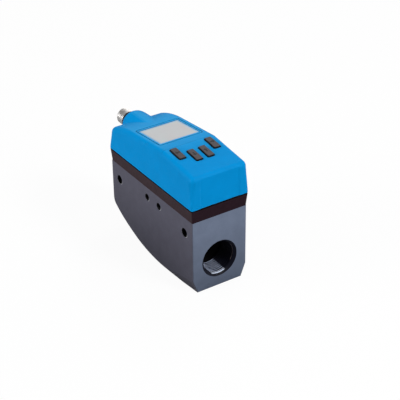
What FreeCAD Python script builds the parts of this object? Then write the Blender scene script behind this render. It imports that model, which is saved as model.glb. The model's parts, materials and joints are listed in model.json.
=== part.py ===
"""In-line flow meter for compressed air: metal channel block, electronics head, display, keys, plug.

Millimetres. +X comes out of the inlet port, +Z is up. The origin is on the base plane,
below the middle of the channel block.
"""
import FreeCAD, Part
import math
import os
from FreeCAD import Placement, Rotation, Vector

# Channel block
body_length = 104.0
body_width = 43.0
body_height = 56.0
body_edge_break = 0.4
port_height = 21.5           # height of the channel axis above the base
thread_major_d = 26.44       # G 3/4 inside thread
thread_depth = 18.0
port_lead = 0.63             # lead-in cone at the mouth
channel_d = 20.0
belly_axis_rise = 5.0        # axis of the block's turned lower part, above the channel axis
belly_foot = 1.93            # height at which the widest part of the belly meets the sides
belly_mid_x = 12.0           # where the belly is first at its widest
belly_taper = 13.77          # degrees, of the cone at the outlet end
nose_cut_y = 3.8             # sloped cuts on the lower corners of the inlet end
nose_cut_z = 9.8
nose_cut_run = 45.7
outer_hole_d = 6.6           # through holes in the side
outer_hole_x = 42.2
outer_hole_drop = 11.6       # below the block's top
inner_hole_d = 5.2           # blind tapped holes in the side
inner_hole_depth = 10.0
inner_hole_pitch = 15.0
inner_hole_offset = 2.7
inner_hole_drop = 7.6

# Base frame, the dark band
frame_height = 10.0
frame_flare = 0.9            # how far the band leans out over its height
frame_wall = 2.6
frame_floor = 2.5
frame_corner_r = 1.0
seam_height = 0.8            # shadow line between band and cover
seam_inset = 0.9
gasket_width = 1.6
gasket_height = 1.0
gasket_inset = 1.2

# Cover
cover_wall = 2.5
cover_crest_rise = 27.4      # crest above the cover's lower edge
cover_crest_x = 15.3
display_slope = 5.6          # degrees, rising towards the inlet end
key_slope = 6.3              # degrees, falling towards the inlet end
rear_arc_start_x = -26.0
rear_arc_r = 68.7
side_draft = 1.0             # degrees
front_draft = 1.0
rear_draft = 4.0
cover_edge_r = 4.0
cover_foot_r = 1.0           # the upright corners sharpen to this at the foot
rim_depth = 3.0              # tongue of the cover inside the band
rim_wall = 1.5
rim_gap = 0.2
front_panel_width = 29.6     # shallow flat on the front of the cover
front_panel_depth = 0.3
front_panel_run = 1.2        # width of the slopes at its sides

# Plug
plug_thread_d = 12.0
plug_thread_length = 8.7
plug_shoulder = 1.0          # thread to stem, on the radius
plug_wall = 0.6
plug_seal_thickness = 2.6
plug_seal_lip = 0.4          # seal past the thread, on the radius
plug_insert_sink = 6.5
plug_nut_wall = 1.2
plug_nut_height = 3.0
plug_pin_d = 1.0
plug_pin_inset = 1.7         # pin circle inside the bore, on the radius
plug_pin_free = 5.5
plug_tail = 5.0

# Plug neck on the cover
neck_reach = 7.6             # end of the neck past the rear face of the block
neck_tip_lip = 0.2           # end of the neck past the plug's seal, on the radius
neck_swell = 3.5             # from the end to the neck's body, on the radius
neck_sink = 0.4              # root of the neck below the display plane
neck_blend = 2.5
neck_end_wall = 4.0
neck_shares = [              # along the outline: share of the reach, share of the swell
    (1.0, 0.0),
    (0.8, 0.5),
    (0.4, 1.0),
    (-0.13, 1.16),
    (-1.6, 1.31),
    (-4.0, 1.57),
]

# Display
bezel_length = 31.6
bezel_width = 33.6
bezel_x = -9.0
bezel_depth = 1.6
bezel_corner_r = 1.0
bezel_end_border = 1.8
bezel_side_border = 1.2
bezel_gap = 0.5              # shadow line round the bezel
window_sink = 0.3            # window surface below the bezel
window_ledge = 1.2           # what the window rests on, all round
trim_gap = 0.1               # window to bezel
lcd_length = 29.0
lcd_width = 32.0
lcd_thickness = 2.8
lcd_gap = 0.2
lcd_carrier_wall = 2.5

# Keys
key_count = 4                # in a row across the cover, evenly spaced
key_length = 12.6
key_width = 5.0
key_proud = 1.0
key_corner_r = 0.8
key_edge_r = 0.4
key_side_gap = 0.5
key_lip = 1.1
key_lip_thickness = 1.0
key_rest_gap = 0.25          # lip to cover at rest
key_travel = 0.6
key_stem_d = 3.0
key_stem_length = 0.5        # at the front pair, where it is shortest
key_end_gap = 0.3            # stem to switch when pressed home
key_side_inset = 7.9         # outer keys from the side of the block
outer_key_x = 23.4
inner_key_x = 29.8

# Boards
board_thickness = 1.6
board_gap = 0.9              # boards to the cover
main_board_lift = 7.5        # above the frame floor
main_pillar_end_inset = 5.0
main_pillar_side_inset = 9.8
display_board_rear = 11.5    # past the display panel
display_board_front = 3.4    # past the front keys
display_pillar_inset = 4.0
pillar_across = 5.0
board_screw_d = 2.5
board_screw_depth = 5.0
board_head_d = 4.5
board_head_height = 1.5
switch_size = 6.0
switch_height = 3.5
link_length = 14.0
link_width = 4.0
link_x = 12.0
processor_size = 12.0
processor_x = -8.0
regulator_length = 10.0
regulator_width = 6.5
regulator_x = -26.0
driver_length = 8.0
driver_width = 5.0
driver_x = 27.0
chip_height = 1.8

# Sensor
sensor_stem_d = 12.0
sensor_flange_d = 23.0
sensor_flange_height = 3.0
sensor_flange_gap = 0.4
sensor_screw_inset = 2.9     # from the edge of the flange
sensor_screw_d = 2.5
sensor_screw_depth = 7.0
probe_d = 2.0
probe_pitch = 6.0
probe_grip = 4.0
seal_d = 1.4
seal_drop = 12.0             # below the block's top
pin_d = 0.8
pin_pitch = 2.54
pin_count = 4

# Screws between band and block
frame_screw_d = 4.0
frame_screw_depth = 7.0
frame_head_d = 7.0
frame_head_height = 2.6
frame_head_room = 0.9        # head to the band's wall
frame_screw_step = 8.8       # from the board pillars, along the block

fit_gap = 0.05               # radial gap where a round piece sits in a hole
margin = 10.0                # how far cutting tools reach past what they cut


def tangent(degrees):
    return math.tan(math.radians(degrees))


def display_height(x):
    """Height of the display plane of the cover."""
    return crest_z - (cover_crest_x - x) * tangent(display_slope)


def key_height(x):
    """Height of the key plane of the cover."""
    return crest_z - (x - cover_crest_x) * tangent(key_slope)


# Block, band and cover
half_length = body_length / 2
half_width = body_width / 2
belly_axis = port_height + belly_axis_rise
channel_top = port_height + channel_d / 2
frame_floor_top = body_height + frame_floor
frame_top = body_height + frame_height - seam_height
cover_base = body_height + frame_height
crest_z = cover_base + cover_crest_rise
foot_x = half_length + frame_flare
foot_y = half_width + frame_flare
rim_x = half_length - frame_wall - rim_gap
rim_y = half_width - frame_wall - rim_gap

# Plug and neck
plug_stem_d = plug_thread_d - 2 * plug_shoulder
plug_bore_d = plug_stem_d - 2 * plug_wall
plug_seal_d = plug_thread_d + 2 * plug_seal_lip
neck_tip_r = plug_seal_d / 2 + neck_tip_lip
neck_outline = [(-half_length - reach * neck_reach, neck_tip_r + swell * neck_swell)
                for reach, swell in neck_shares]
neck_end_x = neck_outline[0][0]
neck_root_x, neck_root_r = neck_outline[-1]
neck_z = display_height(neck_root_x) - neck_root_r - neck_sink
plug_tip_x = neck_end_x - plug_seal_thickness - plug_thread_length
plug_inner_x = neck_end_x + neck_end_wall + plug_nut_height

# Display, keys and boards
window_length = bezel_length - 2 * bezel_end_border
window_width = bezel_width - 2 * bezel_side_border
outer_key_y = half_width - key_side_inset
inner_key_y = outer_key_y / (key_count - 1)
key_room = cover_wall + key_rest_gap + key_lip_thickness + key_stem_length + key_travel + key_end_gap
switch_top = key_height(inner_key_x) - key_room
display_board_top = switch_top - switch_height
display_board_z = display_board_top - board_thickness
display_board_rear_x = bezel_x - lcd_length / 2 - display_board_rear
display_board_front_x = inner_key_x + key_length / 2 + display_board_front
display_side_lean = (display_board_top - cover_base) * tangent(side_draft)
display_board_half = foot_y - cover_wall - display_side_lean - board_gap
main_board_z = frame_floor_top + main_board_lift
main_board_top = main_board_z + board_thickness
main_board_x = rim_x - rim_wall - board_gap
main_board_y = rim_y - rim_wall - board_gap
main_pillar_x = main_board_x - main_pillar_end_inset
main_pillar_y = main_board_y - main_pillar_side_inset
display_pillar_y = main_board_y - display_pillar_inset / 2 - board_gap

# Screws
sensor_screw_y = sensor_flange_d / 2 - sensor_screw_inset
frame_screw_x = main_pillar_x - frame_screw_step
frame_screw_y = half_width - frame_wall - frame_head_room - frame_head_d / 2


def box(x0, x1, y0, y1, z0, z1):
    return Part.makeBox(x1 - x0, y1 - y0, z1 - z0, Vector(x0, y0, z0))


def slab(half_x, half_y, z0, z1):
    return box(-half_x, half_x, -half_y, half_y, z0, z1)


def frame_ring(half_x, half_y, width, z0, z1):
    """Rectangular ring with its outer edge at half_x, half_y."""
    hole = slab(half_x - width, half_y - width, z0 - margin, z1 + margin)
    return slab(half_x, half_y, z0, z1).cut(hole)


def rod_z(diameter, x, y, z0, z1):
    return Part.makeCylinder(diameter / 2, z1 - z0, Vector(x, y, z0))


def rod_x(diameter, x0, x1, z):
    return Part.makeCylinder(diameter / 2, x1 - x0, Vector(x0, 0, z), Vector(1, 0, 0))


def rod_y(diameter, x, z, y0, y1):
    return Part.makeCylinder(diameter / 2, y1 - y0, Vector(x, y0, z), Vector(0, 1, 0))


def hexagon(across, height, centre, direction):
    """Hexagonal bar of the given width across flats, built up along direction."""
    radius = across / math.sqrt(3)
    corners = []
    for step in range(7):
        angle = math.radians(60 * step)
        corners.append(Vector(radius * math.cos(angle), radius * math.sin(angle), 0))
    bar = Part.Face(Part.makePolygon(corners)).extrude(Vector(0, 0, height))
    bar.Placement = Placement(centre, Rotation(Vector(0, 0, 1), direction))
    return bar


def rectangle(x0, x1, half_y, z):
    corners = [Vector(x0, -half_y, z), Vector(x1, -half_y, z), Vector(x1, half_y, z), Vector(x0, half_y, z)]
    return Part.makePolygon(corners + corners[:1])


def rounded_bar(length, width, radius, z0, z1):
    """Upright bar with rounded corners, centred on the Z axis."""
    bar = slab(length / 2, width / 2, z0, z1)
    upright = [edge for edge in bar.Edges if abs(edge.tangentAt(edge.FirstParameter).z) > 0.99]
    return bar.makeFillet(radius, upright)


def on_display(shape, x):
    """Lay a shape, modelled on the XY plane, on the display plane."""
    shape.Placement = Placement(Vector(x, 0, display_height(x)), Rotation(Vector(0, 1, 0), -display_slope))
    return shape


def on_keys(shape, x, y):
    """Lay a shape, modelled on the XY plane, on the key plane."""
    shape.Placement = Placement(Vector(x, y, key_height(x)), Rotation(Vector(0, 1, 0), key_slope))
    return shape


def mirrored_pairs(x, y):
    return [(sign_x * x, sign_y * y) for sign_x in (-1, 1) for sign_y in (-1, 1)]


def screw(x, y, seat_z, diameter, depth, head_d, head_height):
    """Cylinder-head screw standing on seat_z, with a round drive recess."""
    shank = rod_z(diameter, x, y, seat_z - depth, seat_z)
    head = rod_z(head_d, x, y, seat_z, seat_z + head_height)
    recess = rod_z(head_d / 2, x, y, seat_z + head_height / 2, seat_z + head_height + margin)
    return shank.fuse(head).cut(recess).removeSplitter()


# Channel block

def belly_envelope():
    """Turned outline of the block's lower part: a cone, an arc that runs on from it, and a cylinder."""
    widest_r = math.hypot(belly_axis - belly_foot, half_width)
    bulge = widest_r - half_width
    taper = math.radians(belly_taper)
    cone_rise = math.tan(taper)
    arc_rise = math.tan(taper / 2)
    arc_x = (bulge - cone_rise * half_length - arc_rise * belly_mid_x) / (cone_rise - arc_rise)
    arc_r = (belly_mid_x - arc_x) / math.sin(taper)

    def on_arc(angle):
        return Vector(belly_mid_x - arc_r * math.sin(angle), 0,
                      belly_axis + widest_r - arc_r * (1 - math.cos(angle)))

    rear = Vector(-half_length, 0, belly_axis + half_width)
    front = Vector(half_length, 0, belly_axis + widest_r)
    front_axis = Vector(half_length, 0, belly_axis)
    rear_axis = Vector(-half_length, 0, belly_axis)
    outline = Part.Wire([
        Part.makeLine(rear, on_arc(taper)),
        Part.Arc(on_arc(taper), on_arc(taper / 2), on_arc(0)).toShape(),
        Part.makeLine(on_arc(0), front),
        Part.makeLine(front, front_axis),
        Part.makeLine(front_axis, rear_axis),
        Part.makeLine(rear_axis, rear),
    ])
    return Part.Face(outline).revolve(rear_axis, Vector(1, 0, 0), 360)


def nose_cut(side):
    """Prism that slopes off one lower corner of the inlet end."""
    edge_y = side * half_width
    on_upright = Vector(half_length, edge_y, nose_cut_z)
    on_base = Vector(half_length, edge_y - side * nose_cut_y, 0)
    on_length = Vector(half_length - nose_cut_run, edge_y, 0)
    middle = (on_upright + on_base + on_length) / 3
    corners = [middle + (point - middle) * 2 for point in (on_upright, on_base, on_length)]
    outward = (corners[1] - corners[0]).cross(corners[2] - corners[0])
    outward.normalize()
    if outward.y * side < 0:
        outward = -outward
    return Part.Face(Part.makePolygon(corners + corners[:1])).extrude(outward * (2 * nose_cut_z))


def port_bore(side):
    """Thread bore with its lead-in cone and the cone down to the channel."""
    face_x = side * half_length
    inward = Vector(-side, 0, 0)
    thread_r = thread_major_d / 2
    channel_r = channel_d / 2
    mouth_r = thread_r + port_lead
    lead_cone = Part.makeCone(mouth_r, thread_r, port_lead, Vector(face_x, 0, port_height), inward)
    bore = Part.makeCylinder(thread_r, thread_depth, Vector(face_x, 0, port_height), inward)
    end_x = face_x - side * thread_depth
    step = Part.makeCone(thread_r, channel_r, thread_r - channel_r, Vector(end_x, 0, port_height), inward)
    return lead_cone.fuse([bore, step])


def inner_hole_places():
    return [inner_hole_offset + sign * inner_hole_pitch / 2 for sign in (-1, 1)]


def measuring_body():
    upper = slab(half_length, half_width, belly_axis, body_height)
    lower = slab(half_length, half_width, 0, belly_axis).common(belly_envelope())
    block = upper.fuse(lower).removeSplitter()
    for side in (-1, 1):
        block = block.cut(nose_cut(side))
    end_edges = []
    for edge in block.Edges:
        bounds = edge.BoundBox
        if bounds.XMin > half_length - 0.01 and bounds.ZMin < body_height - 0.01:
            end_edges.append(edge)
    block = block.makeChamfer(body_edge_break, end_edges)
    block = block.cut(rod_x(channel_d, -half_length, half_length, port_height))
    for side in (-1, 1):
        block = block.cut(port_bore(side))
        block = block.cut(rod_y(outer_hole_d, side * outer_hole_x, body_height - outer_hole_drop,
                                -body_width, body_width))
    for x in inner_hole_places():
        block = block.cut(rod_y(inner_hole_d, x, body_height - inner_hole_drop,
                                -half_width - margin, inner_hole_depth - half_width))
    block = block.cut(rod_z(sensor_stem_d + 2 * fit_gap, 0, 0, port_height, body_height + margin))
    for side in (-1, 1):
        block = block.cut(rod_z(sensor_screw_d + 2 * fit_gap, 0, side * sensor_screw_y,
                                body_height - sensor_screw_depth, body_height + margin))
    for x, y in mirrored_pairs(frame_screw_x, frame_screw_y):
        block = block.cut(rod_z(frame_screw_d + 2 * fit_gap, x, y,
                                body_height - frame_screw_depth, body_height + margin))
    return block


# Base frame and seals

def base_frame():
    low = rectangle(-half_length, half_length, half_width, body_height)
    lean = frame_flare * (frame_top - body_height) / frame_height
    high = rectangle(-half_length - lean, half_length + lean, half_width + lean, frame_top)
    band = Part.makeLoft([low, high], True, True)
    upright = [edge for edge in band.Edges if edge.BoundBox.ZLength > frame_height / 2]
    band = band.makeFillet(frame_corner_r, upright)
    inside_x = half_length - frame_wall
    inside_y = half_width - frame_wall
    band = band.cut(slab(inside_x, inside_y, frame_floor_top, frame_top + margin))
    groove = frame_ring(half_length - gasket_inset, half_width - gasket_inset, gasket_width,
                        body_height, body_height + gasket_height)
    band = band.cut(groove)
    flange_hole_d = sensor_flange_d + 2 * sensor_flange_gap
    band = band.cut(rod_z(flange_hole_d, 0, 0, body_height - margin, frame_floor_top + margin))
    for x, y in mirrored_pairs(frame_screw_x, frame_screw_y):
        hole = rod_z(frame_screw_d + 2 * fit_gap, x, y, body_height - margin, frame_floor_top + margin)
        band = band.cut(hole)
    return band


def frame_gasket():
    inset = gasket_inset + fit_gap
    return frame_ring(half_length - inset, half_width - inset, gasket_width - 2 * fit_gap,
                      body_height, body_height + gasket_height)


def cover_gasket():
    width = frame_wall + frame_flare - seam_inset
    return frame_ring(foot_x - seam_inset, foot_y - seam_inset, width, frame_top, cover_base)


def frame_screws():
    return [screw(x, y, frame_floor_top, frame_screw_d, frame_screw_depth + frame_floor - fit_gap,
                  frame_head_d, frame_head_height)
            for x, y in mirrored_pairs(frame_screw_x, frame_screw_y)]


# Cover

def cover_taper(inset):
    """Drafted block of the cover's plan, drawn in by inset on every side."""
    top_z = crest_z + margin
    rise = top_z - cover_base
    low = rectangle(-foot_x + inset, foot_x - inset, foot_y - inset, cover_base)
    rear_x = -foot_x + inset + rise * tangent(rear_draft)
    front_x = foot_x - inset - rise * tangent(front_draft)
    high = rectangle(rear_x, front_x, foot_y - inset - rise * tangent(side_draft), top_z)
    return Part.makeLoft([low, high], True, True)


def cover_profile(drop):
    """Side outline of the cover's top, drawn in by drop: rear arc, display plane, crest, key plane."""
    display_in = Vector(math.sin(math.radians(display_slope)), 0, -math.cos(math.radians(display_slope)))
    key_in = Vector(-math.sin(math.radians(key_slope)), 0, -math.cos(math.radians(key_slope)))
    half_turn = math.radians(display_slope + key_slope) / 2
    crest_in = (display_in + key_in).normalize() / math.cos(half_turn)
    rear_tangent = Vector(rear_arc_start_x, 0, display_height(rear_arc_start_x))
    arc_centre = rear_tangent + display_in * rear_arc_r
    end_x = foot_x + margin
    rear_x = -foot_x - margin / 2
    low_z = cover_base - margin
    inner_r = rear_arc_r - drop

    def on_arc(x):
        return Vector(x, 0, arc_centre.z + math.sqrt(inner_r ** 2 - (x - arc_centre.x) ** 2))

    arc_end = rear_tangent + display_in * drop
    crest = Vector(cover_crest_x, 0, crest_z) + crest_in * drop
    front_end = Vector(end_x, 0, key_height(end_x)) + key_in * drop
    points = [arc_end, crest, front_end, Vector(end_x, 0, low_z), Vector(rear_x, 0, low_z), on_arc(rear_x)]
    outline = Part.Wire([
        Part.Arc(on_arc(rear_x), on_arc((rear_x + rear_arc_start_x) / 2), arc_end).toShape(),
        Part.makePolygon(points),
    ])
    side = 2 * foot_y
    prism = Part.Face(outline).extrude(Vector(0, 2 * side, 0))
    prism.translate(Vector(0, -side, 0))
    return prism


def cover_edge_radius(point):
    """Rounding of the cover's edges at one of their ends."""
    return cover_foot_r if point.z < cover_base + fit_gap else cover_edge_r


def round_cover_edges(block):
    """Round the top edges, and the upright corners with a radius that shrinks to the foot."""
    document = FreeCAD.newDocument("rounding")
    base = document.addObject("Part::Feature", "block")
    base.Shape = block
    radii = []
    for number, edge in enumerate(base.Shape.Edges, 1):
        bounds = edge.BoundBox
        across = bounds.YLength > bounds.XLength
        at_foot = bounds.ZMax < cover_base + fit_gap
        if at_foot or (across and abs(edge.CenterOfMass.x) < foot_x - margin):
            continue
        ends = (edge.valueAt(edge.FirstParameter), edge.valueAt(edge.LastParameter))
        radii.append((number, cover_edge_radius(ends[0]), cover_edge_radius(ends[1])))
    rounding = document.addObject("Part::Fillet", "rounded")
    rounding.Base = base
    rounding.Edges = radii
    document.recompute()
    rounded = rounding.Shape.copy()
    FreeCAD.closeDocument(document.Name)
    return rounded


def neck_outside():
    """Turned neck, rounded towards the plug."""
    points = [Vector(x, 0, neck_z + radius) for x, radius in neck_outline]
    curve = Part.BSplineCurve()
    curve.interpolate(points)
    end_axis = Vector(neck_end_x, 0, neck_z)
    root_axis = Vector(neck_root_x, 0, neck_z)
    outline = Part.Wire([
        curve.toShape(),
        Part.makeLine(points[-1], root_axis),
        Part.makeLine(root_axis, end_axis),
        Part.makeLine(end_axis, points[0]),
    ])
    neck = Part.Face(outline).revolve(end_axis, Vector(1, 0, 0), 360)
    return neck.cut(slab(2 * foot_x, foot_y, cover_base - margin, cover_base))


def blend_neck(cover):
    """Hollow blend where the neck grows out of the top of the cover."""
    joint = []
    for edge in cover.Edges:
        middle = edge.valueAt((edge.FirstParameter + edge.LastParameter) / 2)
        from_axis = math.hypot(middle.y, middle.z - neck_z)
        on_neck = neck_tip_r + neck_swell / 2 < from_axis < neck_root_r
        beside_crest = middle.z > neck_z and abs(middle.y) > neck_blend
        if on_neck and beside_crest and neck_end_x < middle.x < rear_arc_start_x:
            joint.append(edge)
    return cover.makeFillet(neck_blend, joint)


def key_places():
    return {
        "key_back": (outer_key_x, -outer_key_y),
        "key_down": (inner_key_x, -inner_key_y),
        "key_up": (inner_key_x, inner_key_y),
        "key_enter": (outer_key_x, outer_key_y),
    }


def front_panel():
    """Tool for the shallow flat on the front of the cover, leaning with its draft."""
    half = front_panel_width / 2
    corners = [Vector(-front_panel_depth, -half, -margin), Vector(0, -half - front_panel_run, -margin),
               Vector(margin, -half - front_panel_run, -margin)]
    corners += [Vector(corner.x, -corner.y, corner.z) for corner in reversed(corners)]
    plan = Part.Face(Part.makePolygon(corners + corners[:1]))
    tool = plan.extrude(Vector(0, 0, crest_z - cover_base + margin))
    tool.Placement = Placement(Vector(foot_x, 0, cover_base), Rotation(Vector(0, 1, 0), -front_draft))
    return tool


def top_cover():
    cover = round_cover_edges(cover_taper(0).common(cover_profile(0)))
    cover = cover.fuse(neck_outside()).removeSplitter().Solids[0]
    cover = blend_neck(cover)
    cavity = cover_taper(cover_wall).common(cover_profile(cover_wall))
    neck_room_d = 2 * (neck_tip_r + neck_swell - cover_wall)
    cavity = cavity.fuse(rod_x(neck_room_d, neck_end_x + neck_end_wall, rear_arc_start_x, neck_z))
    shelf = slab(foot_x, foot_y, cover_base, cover_base + cover_wall)
    shelf = shelf.cut(slab(rim_x - rim_wall, rim_y - rim_wall, cover_base - margin, cover_base + margin))
    cavity = cavity.cut(shelf)
    cover = cover.cut(cavity)
    rim = frame_ring(rim_x, rim_y, rim_wall, cover_base - rim_depth, cover_base)
    cover = cover.fuse(rim).removeSplitter()
    cover = cover.cut(rod_x(plug_stem_d + 2 * fit_gap, neck_end_x - margin, neck_end_x + margin, neck_z))
    recess = rounded_bar(bezel_length + 2 * bezel_gap, bezel_width + 2 * bezel_gap,
                         bezel_corner_r + bezel_gap, -bezel_depth, margin)
    opening = slab(window_length / 2 - window_ledge, window_width / 2 - window_ledge, -margin, margin)
    cover = cover.cut(on_display(recess, bezel_x)).cut(on_display(opening, bezel_x))
    for x, y in key_places().values():
        slot = rounded_bar(key_length + 2 * key_side_gap, key_width + 2 * key_side_gap,
                           key_corner_r + key_side_gap, -margin, margin)
        cover = cover.cut(on_keys(slot, x, y))
    return cover.cut(front_panel())


# Display

def display_bezel():
    ring = rounded_bar(bezel_length, bezel_width, bezel_corner_r, -bezel_depth, 0)
    hole = slab(window_length / 2 + trim_gap, window_width / 2 + trim_gap, -margin, margin)
    return on_display(ring.cut(hole), bezel_x)


def display_window():
    return on_display(slab(window_length / 2, window_width / 2, -bezel_depth, -window_sink), bezel_x)


def lcd_top():
    """Depth of the display panel's face below the cover's surface."""
    return cover_wall + lcd_gap


def lcd_panel():
    bottom = -lcd_top() - lcd_thickness
    return on_display(slab(lcd_length / 2, lcd_width / 2, bottom, -lcd_top()), bezel_x)


def lcd_carrier():
    """Wedge between the upper board and the sloping display panel."""
    lean = math.radians(display_slope)
    seat = -lcd_top() - lcd_thickness
    half = lcd_length / 2 * math.cos(lean)
    shift = bezel_x - seat * math.sin(lean)
    corners = []
    for x in (shift - half, shift + half):
        corners.append(Vector(x, 0, display_height(x) + seat / math.cos(lean)))
    outline = [Vector(shift - half, 0, display_board_top), corners[0], corners[1],
               Vector(shift + half, 0, display_board_top)]
    wedge = Part.Face(Part.makePolygon(outline + outline[:1])).extrude(Vector(0, lcd_width, 0))
    wedge.translate(Vector(0, -lcd_width / 2, 0))
    room = box(shift - half + lcd_carrier_wall, shift + half - lcd_carrier_wall,
               -lcd_width / 2 + lcd_carrier_wall, lcd_width / 2 - lcd_carrier_wall,
               display_board_top - margin, crest_z)
    return wedge.cut(room)


# Keys and their board

def key(x, y):
    """Key cap with a retaining lip under the cover and a stem down to its switch."""
    lip_top = -cover_wall - key_rest_gap
    lip_bottom = lip_top - key_lip_thickness
    to_switch = (key_height(x) - switch_top) * math.cos(math.radians(key_slope))
    lean_room = key_stem_d / 2 * tangent(key_slope)
    stem_end = key_travel + key_end_gap + lean_room - to_switch
    cap = rounded_bar(key_length, key_width, key_corner_r, lip_top, key_proud)
    rim = [edge for edge in cap.Edges if edge.BoundBox.ZMin > key_proud - 0.01]
    cap = cap.makeFillet(key_edge_r, rim)
    lip = slab(key_length / 2 + key_lip, key_width / 2 + key_lip, lip_bottom, lip_top)
    stem = rod_z(key_stem_d, 0, 0, stem_end, lip_bottom)
    return on_keys(cap.fuse([lip, stem]).removeSplitter(), x, y)


def key_switches():
    half = switch_size / 2
    return [box(x - half, x + half, y - half, y + half, display_board_top, switch_top)
            for x, y in key_places().values()]


def display_pillar_places():
    ends = (display_board_rear_x + display_pillar_inset, display_board_front_x - display_pillar_inset)
    return [(x, side * display_pillar_y) for x in ends for side in (-1, 1)]


def display_board():
    board = box(display_board_rear_x, display_board_front_x, -display_board_half, display_board_half,
                display_board_z, display_board_top)
    for x, y in display_pillar_places():
        board = board.cut(rod_z(board_screw_d + 2 * fit_gap, x, y, display_board_z - margin, crest_z))
    return board


def pillar(x, y, z0, z1):
    post = hexagon(pillar_across, z1 - z0, Vector(x, y, z0), Vector(0, 0, 1))
    return post.cut(rod_z(board_screw_d + 2 * fit_gap, x, y, z1 - board_screw_depth, z1 + margin))


def board_screw(x, y, seat_z):
    return screw(x, y, seat_z, board_screw_d, board_thickness + board_screw_depth - fit_gap,
                 board_head_d, board_head_height)


def display_pillars():
    return [pillar(x, y, main_board_top, display_board_z) for x, y in display_pillar_places()]


def display_screws():
    return [board_screw(x, y, display_board_top) for x, y in display_pillar_places()]


# Main board

def main_board():
    board = slab(main_board_x, main_board_y, main_board_z, main_board_top)
    for x, y in mirrored_pairs(main_pillar_x, main_pillar_y):
        board = board.cut(rod_z(board_screw_d + 2 * fit_gap, x, y, main_board_z - margin, crest_z))
    return board


def board_pillars():
    return [pillar(x, y, frame_floor_top, main_board_z)
            for x, y in mirrored_pairs(main_pillar_x, main_pillar_y)]


def board_screws():
    return [board_screw(x, y, main_board_top) for x, y in mirrored_pairs(main_pillar_x, main_pillar_y)]


def board_link():
    return box(link_x - link_length / 2, link_x + link_length / 2, -link_width / 2, link_width / 2,
               main_board_top, display_board_z)


def board_chips():
    """Processor, supply regulator and output driver."""
    chips = [(processor_size, processor_size, processor_x), (regulator_length, regulator_width, regulator_x),
             (driver_length, driver_width, driver_x)]
    chip_top = main_board_top + chip_height
    return [box(x - length / 2, x + length / 2, -width / 2, width / 2, main_board_top, chip_top)
            for length, width, x in chips]


# Sensor

def sensor_holder():
    flange_top = body_height + sensor_flange_height
    holder = rod_z(sensor_stem_d, 0, 0, channel_top, body_height)
    holder = holder.fuse(rod_z(sensor_flange_d, 0, 0, body_height, flange_top)).removeSplitter()
    seal_height = body_height - seal_drop
    groove_half = seal_d / 2 + fit_gap
    groove = rod_z(sensor_stem_d + margin, 0, 0, seal_height - groove_half, seal_height + groove_half)
    core = rod_z(sensor_stem_d - 2 * seal_d, 0, 0, seal_height - margin, seal_height + margin)
    holder = holder.cut(groove.cut(core))
    for side in (-1, 1):
        holder = holder.cut(rod_z(probe_d + 2 * fit_gap, side * probe_pitch / 2, 0,
                                  channel_top - margin, channel_top + probe_grip))
        holder = holder.cut(rod_z(sensor_screw_d + 2 * fit_gap, 0, side * sensor_screw_y,
                                  body_height - margin, flange_top + margin))
    return holder


def probe(side):
    pin = rod_z(probe_d, side * probe_pitch / 2, 0, port_height, channel_top + probe_grip)
    tip = [edge for edge in pin.Edges if edge.BoundBox.ZMax < port_height + 0.01]
    return pin.makeFillet(probe_d * 0.4, tip)


def sensor_o_ring():
    ring_r = seal_d / 2 - fit_gap
    return Part.makeTorus(sensor_stem_d / 2 - seal_d / 2, ring_r, Vector(0, 0, body_height - seal_drop))


def sensor_screws():
    seat = body_height + sensor_flange_height
    depth = sensor_flange_height + sensor_screw_depth - fit_gap
    return [screw(0, side * sensor_screw_y, seat, sensor_screw_d, depth, board_head_d, board_head_height)
            for side in (-1, 1)]


def sensor_pins():
    seat = body_height + sensor_flange_height
    first_x = -(pin_count - 1) / 2 * pin_pitch
    return [rod_z(pin_d, first_x + step * pin_pitch, 0, seat, main_board_z) for step in range(pin_count)]


# Plug

def connector_shell():
    shoulder_x = neck_end_x - plug_seal_thickness
    shell = rod_x(plug_thread_d, plug_tip_x, shoulder_x, neck_z)
    tip = [edge for edge in shell.Edges if edge.BoundBox.XMax < plug_tip_x + 0.01]
    shell = shell.makeChamfer(plug_shoulder / 2, tip)
    shell = shell.fuse(rod_x(plug_stem_d, shoulder_x, plug_inner_x, neck_z)).removeSplitter()
    return shell.cut(rod_x(plug_bore_d, plug_tip_x - margin, plug_inner_x + margin, neck_z))


def connector_o_ring():
    ring = rod_x(plug_seal_d, neck_end_x - plug_seal_thickness, neck_end_x, neck_z)
    return ring.cut(rod_x(plug_stem_d + 2 * fit_gap, neck_end_x - margin, neck_end_x + margin, neck_z))


def plug_pin_places():
    places = [Vector(0, 0, neck_z)]
    for step in range(4):
        angle = math.radians(45 + 90 * step)
        radius = plug_bore_d / 2 - plug_pin_inset
        places.append(Vector(0, radius * math.cos(angle), neck_z + radius * math.sin(angle)))
    return places


def plug_pin(place, start_x, end_x, diameter):
    start = Vector(start_x, place.y, place.z)
    return Part.makeCylinder(diameter / 2, end_x - start_x, start, Vector(1, 0, 0))


def connector_insert():
    face_x = plug_tip_x + plug_insert_sink
    insert = rod_x(plug_bore_d - 2 * fit_gap, face_x, plug_inner_x, neck_z)
    for place in plug_pin_places():
        hole = plug_pin(place, face_x - margin, plug_inner_x + margin, plug_pin_d + 2 * fit_gap)
        insert = insert.cut(hole)
    return insert


def connector_pins():
    start_x = plug_tip_x + plug_insert_sink - plug_pin_free
    return [plug_pin(place, start_x, plug_inner_x + plug_tail, plug_pin_d) for place in plug_pin_places()]


def connector_nut():
    seat_x = neck_end_x + neck_end_wall
    across = plug_stem_d + 2 * plug_nut_wall
    nut = hexagon(across, plug_nut_height, Vector(seat_x, 0, neck_z), Vector(1, 0, 0))
    return nut.cut(rod_x(plug_stem_d + 2 * fit_gap, seat_x - margin, seat_x + margin, neck_z))


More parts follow.
